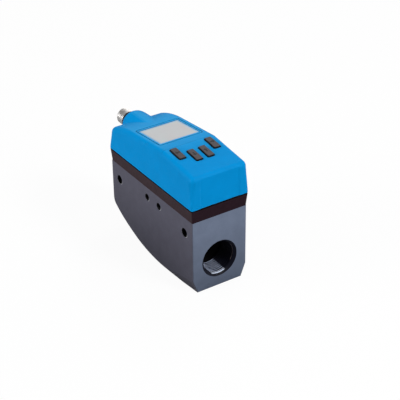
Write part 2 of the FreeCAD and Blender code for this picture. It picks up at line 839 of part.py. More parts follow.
def all_parts():
    parts = {
        "measuring_body": measuring_body(),
        "base_frame": base_frame(),
        "frame_gasket": frame_gasket(),
        "frame_screws": frame_screws(),
        "cover_gasket": cover_gasket(),
        "top_cover": top_cover(),
        "display_bezel": display_bezel(),
        "display_window": display_window(),
        "lcd_panel": lcd_panel(),
        "lcd_carrier": lcd_carrier(),
        "display_board": display_board(),
        "key_switches": key_switches(),
        "display_pillars": display_pillars(),
        "display_screws": display_screws(),
        "main_board": main_board(),
        "board_pillars": board_pillars(),
        "board_screws": board_screws(),
        "board_link": board_link(),
        "board_chips": board_chips(),
        "sensor_holder": sensor_holder(),
        "heater_probe": probe(1),
        "temperature_probe": probe(-1),
        "sensor_o_ring": sensor_o_ring(),
        "sensor_screws": sensor_screws(),
        "sensor_pins": sensor_pins(),
        "connector_shell": connector_shell(),
        "connector_o_ring": connector_o_ring(),
        "connector_insert": connector_insert(),
        "connector_pins": connector_pins(),
        "connector_nut": connector_nut(),
    }
    for name, (x, y) in key_places().items():
        parts[name] = key(x, y)
    return parts


os.makedirs("parts", exist_ok=True)
for name, shape in all_parts().items():
    if isinstance(shape, list):
        shape = Part.makeCompound(shape)
    shape.exportStep(f"parts/{name}.step")
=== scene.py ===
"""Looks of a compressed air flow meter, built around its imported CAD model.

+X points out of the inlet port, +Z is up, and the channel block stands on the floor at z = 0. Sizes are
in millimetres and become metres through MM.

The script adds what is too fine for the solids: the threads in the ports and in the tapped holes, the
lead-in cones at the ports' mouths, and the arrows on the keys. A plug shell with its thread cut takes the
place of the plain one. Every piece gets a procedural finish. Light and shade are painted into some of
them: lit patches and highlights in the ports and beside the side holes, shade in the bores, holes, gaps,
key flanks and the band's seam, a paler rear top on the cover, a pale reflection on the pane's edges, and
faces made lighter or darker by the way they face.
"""
import functools
import json
import math

import bmesh
import bpy
from mathutils import Matrix, Vector


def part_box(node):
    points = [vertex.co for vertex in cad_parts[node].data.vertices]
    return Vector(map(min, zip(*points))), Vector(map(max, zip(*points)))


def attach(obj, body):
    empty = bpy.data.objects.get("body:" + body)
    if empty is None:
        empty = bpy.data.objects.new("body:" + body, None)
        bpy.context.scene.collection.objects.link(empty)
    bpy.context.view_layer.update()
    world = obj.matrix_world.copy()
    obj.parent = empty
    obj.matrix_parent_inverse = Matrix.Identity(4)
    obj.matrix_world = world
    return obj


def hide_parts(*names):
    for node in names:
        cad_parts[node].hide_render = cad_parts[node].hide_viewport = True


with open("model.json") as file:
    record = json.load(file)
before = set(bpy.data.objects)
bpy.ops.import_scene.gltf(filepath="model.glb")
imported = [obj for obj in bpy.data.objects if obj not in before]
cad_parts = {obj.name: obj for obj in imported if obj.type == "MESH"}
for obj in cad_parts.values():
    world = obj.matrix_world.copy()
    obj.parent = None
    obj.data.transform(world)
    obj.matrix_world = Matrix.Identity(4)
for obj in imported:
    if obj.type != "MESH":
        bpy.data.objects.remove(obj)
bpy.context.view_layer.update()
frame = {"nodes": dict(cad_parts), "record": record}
nodes = frame["nodes"]
mounts = {mount["name"]: mount for mount in frame["record"]["mounts"]}

MM = 0.001
WHITE = (1.0, 1.0, 1.0, 1.0)
ALONG_CHANNEL = (1.0, 0.0, 0.0)
UP = (0.0, 0.0, 1.0)

# Camera, fitted to the photograph
photo_pixels = 400
focal_pixels = 1230.96
sensor_width = 36.0
camera_azimuth = 56.8
camera_elevation = 31.14
camera_roll = -0.55
camera_distance = 826.86
camera_target = (28.55, 0.0, 55.41)

# Light: share of plain white that each lamp gives a surface facing it
lamp_distance = 1500.0
lamps = {
    "key_lamp": {"azimuth": 112.0, "elevation": 42.0, "size": 350.0, "share": 0.58},
    "front_lamp": {"azimuth": 100.0, "elevation": 8.0, "size": 500.0, "share": 0.21},
    "rear_lamp": {"azimuth": 215.0, "elevation": 50.0, "size": 600.0, "share": 0.25},
    "side_lamp": {"azimuth": -20.0, "elevation": 15.0, "size": 900.0, "share": 0.75},
}
world_share = 0.25                      # plain fill light from all round

# The studio as mirrors see it
mirrored_dim = 0.15                     # its near side
mirrored_bright = 1.6                   # its far side
mirrored_slant = (0.0, 1.0, -0.5)       # it brightens along this direction
mirrored_span = (-0.3, 0.7)             # between these distances of a unit ray along it

# Floor and backdrop
floor_size = 6000.0
floor_grey = 0.35
floor_grey_seen = 0.9                   # the floor's paint as the camera sees it
floor_glow_seen = 0.94                  # how far the floor is lifted to white for the camera
floor_glow_mirrored = 0.05              # and for reflections
backdrop_seen = 0.955                   # the backdrop, to match the far floor

# Threads
port_pitch = 1.814
port_thread_height = 1.16
port_mouth_r = 13.83
tapped_pitch = 0.8
tapped_thread_height = 0.43
tapped_length = 9.0
plug_pitch = 1.0
plug_thread_height = 0.35
plug_bore_r = 4.4
plug_stem_r = 5.0
plug_tip_chamfer = 0.5
sleeve_gap = 0.02                       # between an added sleeve and the wall of its hole
flank_steepness = 1.3                   # over 1 leaves flats at a thread's root and crest
root_flat = 0.15                        # share of a flank's rise that the root cuts off
thread_steps = 8                        # rows of faces in one pitch
thread_sides = 96                       # faces round a turned piece
crisp_angle = 40.0                      # degrees; turned edges bent more than this stay crisp

# Painted light and shade in the ports: angles are in degrees from straight down, towards +Y
lit_thread_sector = (-34.0, 27.0)             # here the thread's crests are painted as a lit patch
lead_highlight_sector = (-30.0, 26.0)               # and here the lead-in cone carries a painted highlight
sector_fade = 6.0                         # degrees over which a painted sector fades out
highlight_start = 1.35                  # the mouth's outer edge stays black
lit_crest_share = 0.12                 # this share of the thread's height, from the crest, takes the painted light
grey_turn_sector = (55.0, 130.0)             # here the first turn's crest is a dull grey
first_turn_depth = 3.8                  # from the port's face

# Painted highlight on one side of each side hole
glint_width = 0.5
glint_direction = (0.85, 0.0, -0.53)
glint_reach = 45.0                      # degrees to both sides of that direction

# Places on the block and the band
bore_mask_r = 13.88                     # everything nearer to the channel's axis is painted near-black as shade, and fully rough
hole_mask_depth = 0.3                   # so are holes deeper than this below the block's faces
hole_mask_height = 28.0                 # above the turned belly
foot_shade_height = 45.0                 # painted shade darkens the block below this
foot_shade_share = 0.7                   # to this share of itself
end_face_span = (0.3, 0.8)              # squared cosines; a face passes from side to end between them
seam_depth = 0.1                        # top of the band, painted black as the shade under the cover

# Places on the cover and the pane
crevice_reach = 2.0                     # gaps in the blue cover narrower than this get painted shade
crevice_samples = 12
crest_line_width = 0.5                  # faint dark line along the cover's crest
crest_line_drop = 1.5                   # which ends this far below it
crest_line_share = 0.25
lit_top_tilt = (0.93, 0.99)                # cosines of a face's tilt; painted light pales the blue between them
lit_top_reach = 22.0                      # but not farther than this in front of the pane
pane_rim = 2.0                          # width of the painted reflection along the pane's edge, fading inwards
pane_rim_full = 0.7
pane_alpha = 0.96

# Keys
key_slope = 6.3                         # degrees, falling towards the inlet end
key_arrows = {"key_back": 180.0, "key_down": -90.0, "key_up": 90.0, "key_enter": 0.0}    # turned by, degrees
mark_height = 0.05                      # above the cap
mark_sink = 0.02                        # into the cap
mark_stroke = 1.0
arrow_reach = 1.9                       # half an arrow's length
arrow_head = 1.6                        # length and half width of its head
cap_shade_tilt = (0.75, 0.97)                 # cosines of the tilt from a key's top; the flanks' painted shade gives way to the cap between them

# Pairs of tones between which a colour drifts, for the finishes in the ports
# painted shade: near-black inside the ports
painted_shade_black = ((0.003, 0.0035, 0.009), (0.005, 0.0055, 0.012))
# painted highlight in the ports
painted_highlight_metal = ((0.62, 0.69, 0.85), (0.69, 0.77, 0.94))

# Noise
noise_span = (0.3, 0.7)                 # nearly all values of a noise lie between these
turned_rings = (1.0, 12.0, 12.0)        # draws a noise out into rings round the plug's axis

# Worked out from the record and the values above
port_height = mounts["inlet_port"]["pos_m"][2] / MM
port_face_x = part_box("measuring_body")[1].x
key_up = Vector((math.sin(math.radians(key_slope)), 0.0, math.cos(math.radians(key_slope))))
key_along = Vector((0.0, 1.0, 0.0))
key_across = key_up.cross(key_along)


# Node helpers

def add_node(tree, kind, inputs=None, **settings):
    """A node with its settings. Each input is given a socket of another node or a plain value."""
    node = tree.nodes.new(kind)
    for name, value in settings.items():
        setattr(node, name, value)
    for name, given in (inputs or {}).items():
        if isinstance(given, bpy.types.NodeSocket):
            tree.links.new(given, node.inputs[name])
        else:
            node.inputs[name].default_value = given
    return node


def number(tree, operation, *given):
    """A number worked out from one or two numbers."""
    return add_node(tree, "ShaderNodeMath", dict(enumerate(given)), operation=operation).outputs[0]


def vector(tree, operation, *given):
    """A vector worked out from one or two vectors."""
    node = add_node(tree, "ShaderNodeVectorMath", dict(enumerate(given)), operation=operation)
    return node.outputs["Vector"]


def measure(tree, operation, *given):
    """A number worked out from one or two vectors: a length or a dot product."""
    node = add_node(tree, "ShaderNodeVectorMath", dict(enumerate(given)), operation=operation)
    return node.outputs["Value"]


def split(tree, given):
    """The X, Y and Z of a vector."""
    return add_node(tree, "ShaderNodeSeparateXYZ", {"Vector": given}).outputs


def ramp(tree, value, start, full, low=0.0, high=1.0):
    """A number that goes from low to high as a value goes from start to full, and no farther."""
    span = {"From Min": start, "From Max": full, "To Min": low, "To Max": high}
    return add_node(tree, "ShaderNodeMapRange", {"Value": value, **span}).outputs["Result"]


def over(tree, value, limit):
    """1 where a number is over a limit, else 0."""
    return number(tree, "GREATER_THAN", value, limit)


def under(tree, value, limit):
    """1 where a number is under a limit, else 0."""
    return number(tree, "LESS_THAN", value, limit)


def both(tree, first, second):
    """The share of two masks that overlaps."""
    return number(tree, "MULTIPLY", first, second)


def any_of(tree, shares):
    """The largest of several shares."""
    return functools.reduce(lambda first, second: number(tree, "MAXIMUM", first, second), shares)


def place(tree):
    """Where a point is on the part, in metres."""
    return add_node(tree, "ShaderNodeTexCoord").outputs["Object"]


def distances(tree, centre=(0.0, 0.0, 0.0)):
    """How far a point is from a centre along X, Y and Z, on either side."""
    return split(tree, vector(tree, "ABSOLUTE", vector(tree, "SUBTRACT", place(tree), centre)))


def facing(tree, direction):
    """Cosine of the angle between a face and a direction."""
    normal = add_node(tree, "ShaderNodeNewGeometry").outputs["True Normal"]
    return measure(tree, "DOT_PRODUCT", normal, direction)


def noise(tree, patch, detail=3.0, stretch=(1.0, 1.0, 1.0)):
    """Noise from 0 to 1 whose patches are about patch millimetres across, drawn out by stretch."""
    scale = tuple(1.0 / factor for factor in stretch)
    scaled = add_node(tree, "ShaderNodeMapping", {"Vector": place(tree), "Scale": scale}).outputs["Vector"]
    texture = add_node(tree, "ShaderNodeTexNoise",
                       {"Vector": scaled, "Scale": 1.0 / (patch * MM), "Detail": detail})
    return texture.outputs["Fac"]


def drift_colour(tree, drift, low, high):
    """A colour that drifts from low to high with a noise."""
    blend = add_node(tree, "ShaderNodeValToRGB", {"Fac": drift})
    for stop, position, colour in zip(blend.color_ramp.elements, noise_span, (low, high)):
        stop.position = position
        stop.color = (*colour, 1.0)
    return blend.outputs["Color"]


def drift_number(tree, low, high, patch, stretch=(1.0, 1.0, 1.0)):
    """A number that drifts from low to high."""
    return ramp(tree, noise(tree, patch, stretch=stretch), *noise_span, low, high)


def mix_colours(tree, share, first, second):
    """A colour from first to second, by a share from 0 to 1. Either may be a socket or a plain colour."""
    first, second = ((*given, 1.0) if isinstance(given, tuple) else given for given in (first, second))
    mixed = add_node(tree, "ShaderNodeMixRGB", {"Fac": share, "Color1": first, "Color2": second})
    return mixed.outputs["Color"]


# Finish helpers

def new_material(name, roughness=0.5, metallic=0.0, specular=0.5):
    """A material with a principled shader, whose plain numbers sit on the shader's own sockets."""
    made = bpy.data.materials.new(name)
    made.use_nodes = True
    shader = made.node_tree.nodes["Principled BSDF"]
    shader.inputs["Roughness"].default_value = roughness
    shader.inputs["Metallic"].default_value = metallic
    shader.inputs["Specular IOR Level"].default_value = specular
    return made, made.node_tree, shader


def paint(tree, shader, colour):
    """Gives a shader its colour."""
    tree.links.new(colour, shader.inputs["Base Color"])


def mottle(tree, shader, colour, spread, patch):
    """Gives a shader a colour that wanders a little lighter and darker."""
    darker = tuple(channel * (1.0 - spread) for channel in colour)
    lighter = tuple(channel * (1.0 + spread) for channel in colour)
    paint(tree, shader, drift_colour(tree, noise(tree, patch), darker, lighter))


def vary_roughness(tree, shader, low, high, patch, stretch=(1.0, 1.0, 1.0)):
    """Gives a shader a roughness that drifts from low to high."""
    tree.links.new(drift_number(tree, low, high, patch, stretch), shader.inputs["Roughness"])


def grain(tree, shader, patch, height, strength, stretch=(1.0, 1.0, 1.0)):
    """Gives a shader a fine surface texture of a height in millimetres."""
    bump = add_node(tree, "ShaderNodeBump", {"Height": noise(tree, patch, stretch=stretch),
                                             "Distance": height * MM, "Strength": strength})
    tree.links.new(bump.outputs["Normal"], shader.inputs["Normal"])


# Places on the part, and masks that are 1 at a place and 0 elsewhere

def channel_spoke(tree):
    """The vector from the channel's axis straight out to a point."""
    from_axis = vector(tree, "SUBTRACT", place(tree), (0.0, 0.0, port_height * MM))
    return vector(tree, "MULTIPLY", from_axis, (0.0, 1.0, 1.0))


def channel_radius(tree):
    """How far a point is from the channel's axis, in metres."""
    return measure(tree, "LENGTH", channel_spoke(tree))


def channel_sector(tree, limits):
    """Between two angles round the channel, measured from straight down towards +Y, fading at both ends."""
    spoke = split(tree, channel_spoke(tree))
    angle = number(tree, "ARCTAN2", spoke["Y"], number(tree, "MULTIPLY", spoke["Z"], -1.0))
    first, last = (math.radians(limit) for limit in limits)
    fade = math.radians(sector_fade)
    return both(tree, ramp(tree, angle, first, first + fade), ramp(tree, angle, last, last - fade))


def mouth_depth(tree):
    """How far a point is behind the face of the nearer port, in metres."""
    return number(tree, "SUBTRACT", port_face_x, distances(tree)["X"])


def inside_block(tree):
    """On the walls of the channel and of the side holes, not on the block's outer faces."""
    in_channel = under(tree, channel_radius(tree), bore_mask_r * MM)
    half_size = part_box("measuring_body")[1]
    away = distances(tree)
    deep_x = under(tree, away["X"], half_size.x - hole_mask_depth * MM)
    deep_y = under(tree, away["Y"], half_size.y - hole_mask_depth * MM)
    above = over(tree, away["Z"], hole_mask_height * MM)
    return any_of(tree, (in_channel, both(tree, above, both(tree, deep_x, deep_y))))


def hole_mouths(mount):
    """Where the two holes of a mount open, in metres."""
    for side in (-1, 1):
        yield Vector(mount["pos_m"]) + Vector((side * mount["dims"]["spacing_x_mm"] / 2 * MM, 0.0, 0.0))


def hole_glint(tree, mouth, radius):
    """On a crescent beside a side hole."""
    offset = vector(tree, "MULTIPLY", vector(tree, "SUBTRACT", place(tree), tuple(mouth)), (1.0, 0.0, 1.0))
    lean = measure(tree, "DOT_PRODUCT", vector(tree, "NORMALIZE", offset), glint_direction)
    start = math.cos(math.radians(glint_reach))
    edge = ramp(tree, lean, start, 1.0, radius * MM, (radius + glint_width) * MM)
    return under(tree, measure(tree, "LENGTH", offset), edge)


def hole_glints(tree):
    """On the painted highlights at the edges of the side holes, on the -Y side."""
    crescents = [hole_glint(tree, mouth, mounts[name]["dims"]["hole_r_mm"])
                 for name in ("side_bolt_holes", "side_tapped_holes") for mouth in hole_mouths(mounts[name])]
    return both(tree, any_of(tree, crescents), under(tree, split(tree, place(tree))["Y"], 0.0))


def on_end_face(tree):
    """Where a surface faces along the channel, either way, and softly less towards the sides."""
    lean = facing(tree, ALONG_CHANNEL)
    return ramp(tree, number(tree, "MULTIPLY", lean, lean), *end_face_span)


def on_rear_top(tree):
    """On the upward faces of the cover round the pane, fading out in front of it."""
    pane_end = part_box("display_window")[1].x
    rearward = ramp(tree, split(tree, place(tree))["X"], pane_end + lit_top_reach * MM, pane_end)
    return both(tree, rearward, ramp(tree, facing(tree, UP), *lit_top_tilt))


def on_crest_line(tree):
    """On the line along the cover's crest, at the share that it is drawn with."""
    crest = max((vertex.co for vertex in nodes["top_cover"].data.vertices), key=lambda point: point.z)
    away = distances(tree, (crest.x, 0.0, 0.0))
    line = ramp(tree, away["X"], 0.0, crest_line_width * MM, crest_line_share, 0.0)
    return both(tree, line, over(tree, away["Z"], crest.z - crest_line_drop * MM))


def near_pane_edge(tree):
    """Along the edges of the pane, fading inwards."""
    low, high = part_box("display_window")
    half_size = (high - low) / 2
    away = distances(tree, tuple((low + high) / 2))
    return any_of(tree, [ramp(tree, away[axis], reach - pane_rim * MM, reach - pane_rim_full * MM)
                         for axis, reach in (("X", half_size.x), ("Y", half_size.y))])


# Finishes

def anodised_aluminium():
    """Anodised block: painted reflection makes its end faces lighter and bluer than its sides, painted shade
    darkens it towards the foot, painted highlights sit beside the side holes, and the bores and holes are
    painted near-black as shade.
    """
    made, tree, shader = new_material("anodised_aluminium", metallic=0.9, specular=0.4)
    painted_glint = (0.45, 0.46, 0.50)
    drift = noise(tree, patch=7.0)
    # painted reflection: the end faces take lighter, bluer tones than the sides
    sides = drift_colour(tree, drift, (0.146, 0.143, 0.191), (0.162, 0.159, 0.212))
    ends = drift_colour(tree, drift, (0.222, 0.270, 0.380), (0.244, 0.297, 0.417))
    # painted shade: the bores and side holes near-black
    cut = drift_colour(tree, noise(tree, patch=0.5), (0.008, 0.008, 0.010), (0.014, 0.014, 0.017))
    tone_with_painted_light = mix_colours(tree, on_end_face(tree), sides, ends)
    # painted shade: darker towards the foot
    towards_foot = ramp(tree, split(tree, place(tree))["Z"], 0.0, foot_shade_height * MM, foot_shade_share, 1.0)
    with_painted_light = add_node(tree, "ShaderNodeVectorMath", {"Vector": tone_with_painted_light, "Scale": towards_foot}, operation="SCALE")
    # painted highlight beside each side hole
    edged = mix_colours(tree, hole_glints(tree), with_painted_light.outputs["Vector"], painted_glint)
    inside = inside_block(tree)
    paint(tree, shader, mix_colours(tree, inside, edged, cut))
    satin = drift_number(tree, 0.44, 0.52, patch=0.6)
    tree.links.new(any_of(tree, (satin, inside)), shader.inputs["Roughness"])
    grain(tree, shader, patch=0.22, height=0.012, strength=0.5)
    return made


def machined_thread():
    """Cut thread painted near-black as shade, a dull grey on part of its first turn, and along the lower side
    a painted lit patch with a painted highlight on the first turn.
    """
    made, tree, shader = new_material("machined_thread", specular=0.06)
    drift = noise(tree, patch=0.8)
    # painted shade: the thread near-black
    tone_with_painted_light = drift_colour(tree, drift, *painted_shade_black)
    grey_turn = drift_colour(tree, drift, (0.170, 0.140, 0.150), (0.210, 0.172, 0.185))
    # painted light: the lit patch along the lower side, with a painted highlight on the first turn
    lit_patch = drift_colour(tree, drift, (0.45, 0.52, 0.70), (0.53, 0.61, 0.82))
    first_turn_highlight = drift_colour(tree, drift, *painted_highlight_metal)
    first_turn = under(tree, mouth_depth(tree), first_turn_depth * MM)
    upper = mix_colours(tree, both(tree, first_turn, channel_sector(tree, grey_turn_sector)), tone_with_painted_light, grey_turn)
    lower = mix_colours(tree, first_turn, lit_patch, first_turn_highlight)
    crest = mix_colours(tree, channel_sector(tree, lit_thread_sector), upper, lower)
    root_r = mounts["inlet_port"]["dims"]["r_mm"] - sleeve_gap
    lit_r = root_r - port_thread_height * (1.0 - lit_crest_share)
    on_crest = under(tree, channel_radius(tree), lit_r * MM)
    paint(tree, shader, mix_colours(tree, on_crest, tone_with_painted_light, crest))
    vary_roughness(tree, shader, 0.36, 0.50, patch=0.3)
    grain(tree, shader, patch=0.12, height=0.006, strength=0.5)
    return made


def lead_in_highlight():
    """Lead-in cone painted near-black as shade, with a painted highlight along the lower side."""
    made, tree, shader = new_material("lead_in_highlight", roughness=0.5, specular=0.1)
    drift = noise(tree, patch=0.8)
    # painted highlight on the cone along the lower side, on painted shade elsewhere
    behind_edge = over(tree, mouth_depth(tree), highlight_start * MM)
    highlighted = both(tree, behind_edge, channel_sector(tree, lead_highlight_sector))
    paint(tree, shader, mix_colours(tree, highlighted, drift_colour(tree, drift, *painted_shade_black),
                                    drift_colour(tree, drift, *painted_highlight_metal)))
    grain(tree, shader, patch=0.12, height=0.004, strength=0.4)
    return made


def hole_shade_black():
    """Tapped side holes, painted near-black as shade."""
    made, tree, shader = new_material("hole_shade_black", roughness=0.5, specular=0.15)
    # painted shade: the tapped holes near-black
    mottle(tree, shader, (0.005, 0.005, 0.006), spread=0.2, patch=0.8)
    grain(tree, shader, patch=0.12, height=0.004, strength=0.4)
    return made


def blue_plastic():
    """Satin moulded blue with a fine spark-eroded texture, painted lighter on its rear top and painted with
    shade in its gaps.
    """
    made, tree, shader = new_material("blue_plastic", specular=0.035)
    deep_blue = (0.0, 0.03, 0.07)
    drift = noise(tree, patch=9.0)
    plain = drift_colour(tree, drift, (0.0, 0.252, 0.615), (0.0, 0.268, 0.650))
    # painted light: the rear top paler
    with_painted_light = drift_colour(tree, drift, (0.022, 0.316, 0.685), (0.026, 0.332, 0.710))
    open_blue = mix_colours(tree, on_rear_top(tree), plain, with_painted_light)
    # painted shade: darker in narrow gaps
    openness = add_node(tree, "ShaderNodeAmbientOcclusion", {"Distance": crevice_reach * MM},
                        samples=crevice_samples)
    shaded = mix_colours(tree, openness.outputs["AO"], deep_blue, open_blue)
    paint(tree, shader, mix_colours(tree, on_crest_line(tree), shaded, deep_blue))
    vary_roughness(tree, shader, 0.44, 0.56, patch=1.2)
    grain(tree, shader, patch=0.3, height=0.006, strength=0.4)
    return made


def dark_plastic():
    """Fine matte brown-black band, painted darker on its ends as shade, and painted black as the shade in the
    shadow line under the cover.
    """
    made, tree, shader = new_material("dark_plastic", specular=0.11)
    shadow_line = (0.001, 0.001, 0.002)
    drift = noise(tree, patch=4.0)
    # painted shade: the ends darker than the sides
    sides = drift_colour(tree, drift, (0.0305, 0.0172, 0.0214), (0.0380, 0.0216, 0.0268))
    ends = drift_colour(tree, drift, (0.0135, 0.0041, 0.0083), (0.0172, 0.0053, 0.0107))
    band = mix_colours(tree, on_end_face(tree), sides, ends)
    # painted shade: black at the top of the band, under the cover
    seam_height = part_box("base_frame")[1].z - seam_depth * MM
    in_seam = over(tree, split(tree, place(tree))["Z"], seam_height)
    paint(tree, shader, mix_colours(tree, in_seam, band, shadow_line))
    vary_roughness(tree, shader, 0.40, 0.52, patch=0.8)
    grain(tree, shader, patch=0.25, height=0.010, strength=0.5)
    return made


def key_plastic():
    """Key caps: a grey-brown top over flanks painted near-black as shade."""
    made, tree, shader = new_material("key_plastic", roughness=0.5, specular=0.2)
    # painted shade: the key flanks near-black
    flank = (0.008, 0.007, 0.008)
    cap = drift_colour(tree, noise(tree, patch=1.5), (0.050, 0.043, 0.049), (0.064, 0.055, 0.062))
    on_cap = ramp(tree, facing(tree, tuple(key_up)), *cap_shade_tilt)
    paint(tree, shader, mix_colours(tree, on_cap, flank, cap))
    grain(tree, shader, patch=0.2, height=0.008, strength=0.5)
    return made


def black_plastic():
    """Moulded black of the plug's insert, the inner parts and the arrows on the keys."""
    made, tree, shader = new_material("black_plastic", roughness=0.5, specular=0.2)
    mottle(tree, shader, (0.008, 0.008, 0.009), spread=0.2, patch=2.0)
    grain(tree, shader, patch=0.2, height=0.008, strength=0.5)
    return made


def black_rubber():
    """Dull black of the seals."""
    made, tree, shader = new_material("black_rubber", roughness=0.7, specular=0.3)
    mottle(tree, shader, (0.008, 0.008, 0.008), spread=0.2, patch=1.0)
    grain(tree, shader, patch=0.15, height=0.01, strength=0.6)
    return made


def window_glass():
    """Satin pane over the blank display, its tint drifting from warm to cool and a pale blue reflection
    painted along its edges.
    """
    made, tree, shader = new_material("window_glass", specular=0.3)
    # painted reflection: pale blue along the pane's edges
    pane_edge_reflection = (0.27, 0.49, 0.69)
    drift = noise(tree, patch=14.0, detail=1.0)
    tint = drift_colour(tree, drift, (0.560, 0.543, 0.552), (0.545, 0.575, 0.585))
    paint(tree, shader, mix_colours(tree, near_pane_edge(tree), tint, pane_edge_reflection))
    vary_roughness(tree, shader, 0.36, 0.46, patch=3.0)
    shader.inputs["Alpha"].default_value = pane_alpha
    return made


def lcd_grey():
    """Blank reflective display, its tint drifting a little across the glass."""
    made, tree, shader = new_material("lcd_grey", roughness=0.35, specular=0.4)
    drift = noise(tree, patch=14.0, detail=1.0)
    paint(tree, shader, drift_colour(tree, drift, (0.545, 0.535, 0.545), (0.545, 0.575, 0.585)))
    grain(tree, shader, patch=0.3, height=0.002, strength=0.3)
    return made


def board_green():
    """Solder mask of the circuit boards."""
    made, tree, shader = new_material("board_green", specular=0.5)
    mottle(tree, shader, (0.012, 0.085, 0.030), spread=0.25, patch=1.2)
    vary_roughness(tree, shader, 0.3, 0.5, patch=2.0)
    return made


def brass():
    """Turned brass of the pins and pillars."""
    made, tree, shader = new_material("brass", metallic=1.0)
    mottle(tree, shader, (0.53, 0.36, 0.10), spread=0.08, patch=1.5)
    vary_roughness(tree, shader, 0.22, 0.38, patch=0.4)
    return made


def steel():
    """Bright steel of the screws and probes."""
    made, tree, shader = new_material("steel", metallic=1.0)
    mottle(tree, shader, (0.42, 0.42, 0.43), spread=0.06, patch=1.5)
    vary_roughness(tree, shader, 0.25, 0.40, patch=0.5)
    return made


def nickel():
    """Turned and nickel-plated: fine rings round the plug's axis."""
    made, tree, shader = new_material("nickel", metallic=0.9)
    mottle(tree, shader, (0.76, 0.735, 0.715), spread=0.05, patch=2.0)
    vary_roughness(tree, shader, 0.28, 0.38, patch=0.25, stretch=turned_rings)
    grain(tree, shader, patch=0.12, height=0.004, strength=0.5, stretch=turned_rings)
    return made


# Meshes

def new_piece(name, mesh, body, slot, finish=None):
    """A mesh object that rides a CAD body, with its own finish or the one of its slot in the record."""
    piece = bpy.data.objects.new(name, mesh)
    bpy.context.scene.collection.objects.link(piece)
    piece.data.materials.append(finish or finishes[slot])
    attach(piece, body)
    return piece


def built_mesh(builder, name):
    """The mesh that a builder holds."""
    mesh = bpy.data.meshes.new(name)
    builder.to_mesh(mesh)
    builder.free()
    return mesh


def lathe(name, rings, origin, axis):
    """A surface turned about an axis: each ring is a distance along it and a radius, plain or by angle."""
    along = Vector(axis)
    across = along.orthogonal().normalized()
    third = along.cross(across)
    builder = bmesh.new()
    rows = []
    for distance, radius in rings:
        row = []
        for side in range(thread_sides):
            angle = 2 * math.pi * side / thread_sides
            reach = radius(angle) if callable(radius) else radius
            spoke = across * math.cos(angle) + third * math.sin(angle)
            row.append(builder.verts.new(Vector(origin) + (along * distance + spoke * reach) * MM))
        rows.append(row)
    for lower, upper in zip(rows, rows[1:]):
        for side in range(thread_sides):
            following = (side + 1) % thread_sides
            builder.faces.new((lower[side], lower[following], upper[following], upper[side]))
    mesh = built_mesh(builder, name)
    mesh.shade_smooth()
    mesh.set_sharp_from_angle(angle=math.radians(crisp_angle))
    return mesh


def thread_share(distance, angle, pitch):
    """How far a thread's flank has risen, 0 at the root and 1 at the crest, fading in at its start."""
    phase = (distance / pitch - angle / (2 * math.pi)) % 1.0
    flank = 1.0 - abs(2.0 * phase - 1.0)
    rise = min(1.0, max(0.0, flank_steepness * flank - root_flat))
    return rise * min(1.0, distance / pitch)


def thread_rings(start, length, pitch, root, crest):
    """Rings of a thread that rises from root to crest, fading in over its first turn."""
    count = round(length / pitch * thread_steps)

    def ring(step):
        distance = length * step / count
        return start + distance, lambda angle: root + (crest - root) * thread_share(distance, angle, pitch)

    return [ring(step) for step in range(count + 1)]


def inside_thread(name, origin, axis, wall_r, length, pitch, height, finish):
    """A threaded sleeve just inside the wall of a plain CAD hole."""
    root = wall_r - sleeve_gap
    mesh = lathe(name, thread_rings(0.0, length, pitch, root, root - height), origin, axis)
    new_piece(name, mesh, "housing", "anodised_grey", finish)


def lead_in(name, mouth, outward, wall_r, depth):
    """The cone between a port's face and the crest of its first thread."""
    root = wall_r - sleeve_gap
    rings = [(0.0, root), (0.0, root - port_thread_height), (depth, port_mouth_r)]
    mesh = lathe(name, rings, mouth - outward * depth * MM, outward)
    new_piece(name, mesh, "housing", "anodised_grey", lead_finish)


def port_threads():
    """Thread and lead-in cone of both ports."""
    for port in ("inlet_port", "outlet_port"):
        mount = mounts[port]
        outward = Vector(mount["axis"])
        wall_r = mount["dims"]["r_mm"]
        middle = Vector(mount["pos_m"])
        inner_end = middle - outward * (mount["dims"]["length_mm"] / 2) * MM
        mouth = Vector((outward.x * port_face_x, middle.y, middle.z))
        cone_depth = port_mouth_r - (wall_r - sleeve_gap - port_thread_height)
        lead_in(port + "_lead", mouth, outward, wall_r, cone_depth)
        length = (mouth - inner_end).length / MM - cone_depth
        inside_thread(port + "_thread", inner_end, outward, wall_r, length, port_pitch, port_thread_height,
                      thread_finish)


def tapped_threads():
    """Threads of the two tapped side holes."""
    mount = mounts["side_tapped_holes"]
    outward = Vector(mount["axis"])
    for count, mouth in enumerate(hole_mouths(mount)):
        inner_end = mouth - outward * tapped_length * MM
        inside_thread("tapped_thread_%d" % count, inner_end, outward, mount["dims"]["hole_r_mm"],
                      tapped_length, tapped_pitch, tapped_thread_height, edge_finish)


def plug_shell():
    """The plug's shell with its thread cut, in place of the plain CAD shell."""
    low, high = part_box("connector_shell")
    inner_end = Vector((high.x, 0.0, (low.z + high.z) / 2))
    reach = (high.x - low.x) / MM
    shoulder = (high.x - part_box("connector_o_ring")[0].x) / MM
    crest = (high.y - low.y) / 2 / MM
    root = crest - plug_thread_height
    rings = [(0.0, plug_bore_r), (0.0, plug_stem_r), (shoulder, plug_stem_r)]
    rings += thread_rings(shoulder, reach - shoulder - plug_tip_chamfer, plug_pitch, root, crest)
    rings += [(reach, root - plug_tip_chamfer), (reach, plug_bore_r), (0.0, plug_bore_r)]
    mesh = lathe("plug_shell", rings, inner_end, (-1.0, 0.0, 0.0))
    piece = new_piece("plug_shell", mesh, "housing", "nickel")
    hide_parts("connector_shell")


def arrow_outline(turn):
    """Outline of a plain arrow on a key's top, pointing along key_along before it is turned."""
    half = mark_stroke / 2
    neck = arrow_reach - arrow_head
    points = [(-arrow_reach, -half), (neck, -half), (neck, -arrow_head), (arrow_reach, 0.0),
              (neck, arrow_head), (neck, half), (-arrow_reach, half)]
    spin = Matrix.Rotation(math.radians(turn), 2)
    return [spin @ Vector(point) for point in points]


